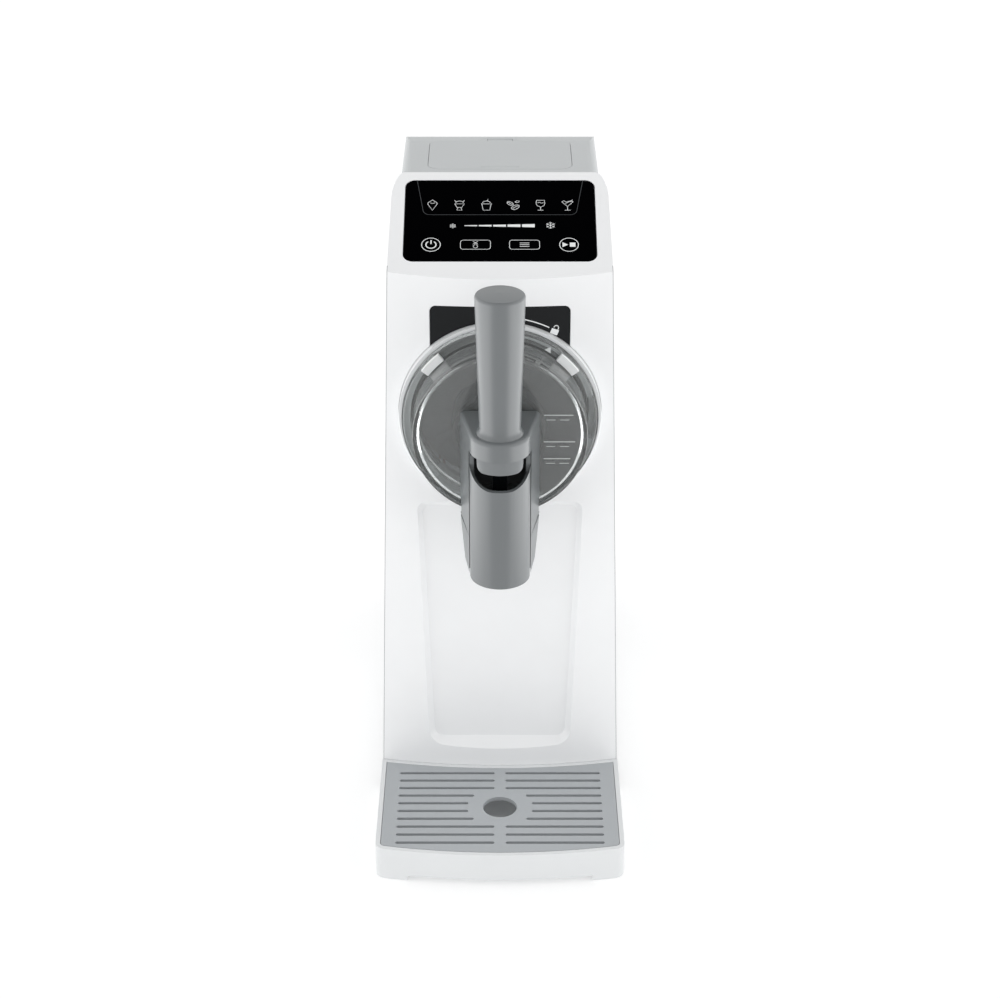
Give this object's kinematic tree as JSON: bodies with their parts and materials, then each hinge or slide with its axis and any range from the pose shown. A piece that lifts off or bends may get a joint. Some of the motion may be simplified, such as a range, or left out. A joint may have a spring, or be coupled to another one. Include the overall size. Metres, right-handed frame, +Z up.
{
  "type": "ice cream maker",
  "caption": "Narrow countertop frozen dessert machine with sloped touch panel, clear twist-off vessel, lever tap, drip tray and compressor cooling",
  "frame": {"origin": "On the table under the middle of the machine, tray included", "axes": "+Z up, +Y towards the back of the machine, -Y towards the user and the drip tray, +X to the right seen from the front"},
  "size_m": [0.17, 0.4, 0.435],
  "materials": {
    "white_shell": "moulded ABS, satin white",
    "grey_deck": "moulded ABS, light grey, fine grain",
    "grille_plastic": "moulded ABS, mid grey",
    "grey_plastic": "moulded ABS, warm grey, semi-gloss",
    "black_glass": "black-backed touch glass",
    "black_plastic": "moulded ABS, black",
    "clear_plastic": "clear copolyester, polished",
    "frosted_plastic": "clear copolyester, frosted",
    "white_silicone": "food-grade silicone",
    "inner_plastic": "moulded polypropylene, natural",
    "auger_plastic": "moulded POM, dark grey",
    "fan_plastic": "moulded nylon, black",
    "steel": "stainless steel, brushed",
    "zinc_sheet": "galvanised sheet steel",
    "black_enamel": "steel shell, black enamel",
    "aluminium_fins": "aluminium fins on tube",
    "copper": "drawn copper tube",
    "circuit_board": "glass-epoxy board, green mask",
    "black_rubber": "moulded rubber, black"
  },
  "bodies": {
    "housing": {"base_pan": "zinc_sheet", "front_panel": "white_shell", "left_side_panel": "white_shell", "right_side_panel": "white_shell", "top_cover": "grey_deck", "rear_cover": "white_shell", "control_glass": "black_glass", "display_board": "circuit_board", "lock_plate": "black_plastic", "vessel_collar": "white_shell", "vessel_bulkhead": "inner_plastic", "cold_drum": "steel", "fill_chute": "inner_plastic", "hatch_pin": "steel", "compressor": "black_enamel", "compressor_mounts": "black_rubber", "condenser": "aluminium_fins", "fan_shroud": "black_plastic", "fan_motor": "black_plastic", "gearbox_plate": "steel", "gearbox_cover": "black_plastic", "drive_motor": "zinc_sheet", "power_board": "circuit_board", "refrigerant_lines": "copper", "filter_drier": "copper", "rubber_feet": "black_rubber", "cord_bushing": "black_rubber", "cover_screws": "steel"},
    "vessel": {"clear_vessel": "clear_plastic", "vessel_gasket": "white_silicone", "spout_body": "grey_plastic", "port_seal": "white_silicone", "pivot_pin": "steel", "release_tab": "frosted_plastic"},
    "lever": {"tap_lever": "grey_plastic", "tap_handle": "grey_plastic", "handle_screw": "steel", "lift_pin": "steel", "return_spring": "steel"},
    "valve": {"valve_piston": "inner_plastic", "piston_rings": "black_rubber"},
    "auger": {"auger_blade": "auger_plastic", "auger_hub": "auger_plastic", "drive_shaft": "steel", "drive_gear": "inner_plastic"},
    "pinion": {"motor_pinion": "steel"},
    "fan": {"fan_blades": "fan_plastic"},
    "tray": {"drip_tray": "white_shell"},
    "grille": {"drip_grille": "grille_plastic"},
    "hatch": {"fill_hatch": "grey_deck", "hatch_gasket": "white_silicone"}
  },
  "joints": [
    {"name": "vessel_twist", "type": "hinge", "parent": "housing", "child": "vessel", "pos_m": [0, 0, 0.2985], "axis": [0, -1, 0], "range_deg": [0, 30]},
    {"name": "tap_pull", "type": "hinge", "parent": "vessel", "child": "lever", "pos_m": [0, -0.14748, 0.304], "axis": [1, 0, 0], "range_deg": [0, 40], "stiffness_Nm_per_rad": 0.4, "springref_deg": -5.73},
    {"name": "valve_lift", "type": "slide", "parent": "vessel", "child": "valve", "axis": [0, 0, 1], "range_m": [0, 0.0103]},
    {"name": "auger_spin", "type": "hinge", "parent": "housing", "child": "auger", "pos_m": [0, 0, 0.2985], "axis": [0, 1, 0], "continuous": true},
    {"name": "pinion_spin", "type": "hinge", "parent": "housing", "child": "pinion", "pos_m": [0, 0, 0.2535], "axis": [0, 1, 0], "continuous": true},
    {"name": "fan_spin", "type": "hinge", "parent": "housing", "child": "fan", "pos_m": [0, 0, 0.077], "axis": [0, 1, 0], "continuous": true},
    {"name": "tray_slide", "type": "slide", "parent": "housing", "child": "tray", "axis": [0, -1, 0], "range_m": [0, 0.06]},
    {"name": "grille_lift", "type": "slide", "parent": "tray", "child": "grille", "axis": [0, 0, 1], "range_m": [0, 0.03]},
    {"name": "hatch_hinge", "type": "hinge", "parent": "housing", "child": "hatch", "pos_m": [0, 0.0856, 0.43], "axis": [-1, 0, 0], "range_deg": [0, 95]}
  ],
  "couplings": [
    {"joint": "valve_lift", "follows": "tap_pull", "m_per_rad": 0.01473},
    {"joint": "pinion_spin", "follows": "auger_spin", "ratio": -3}
  ]
}
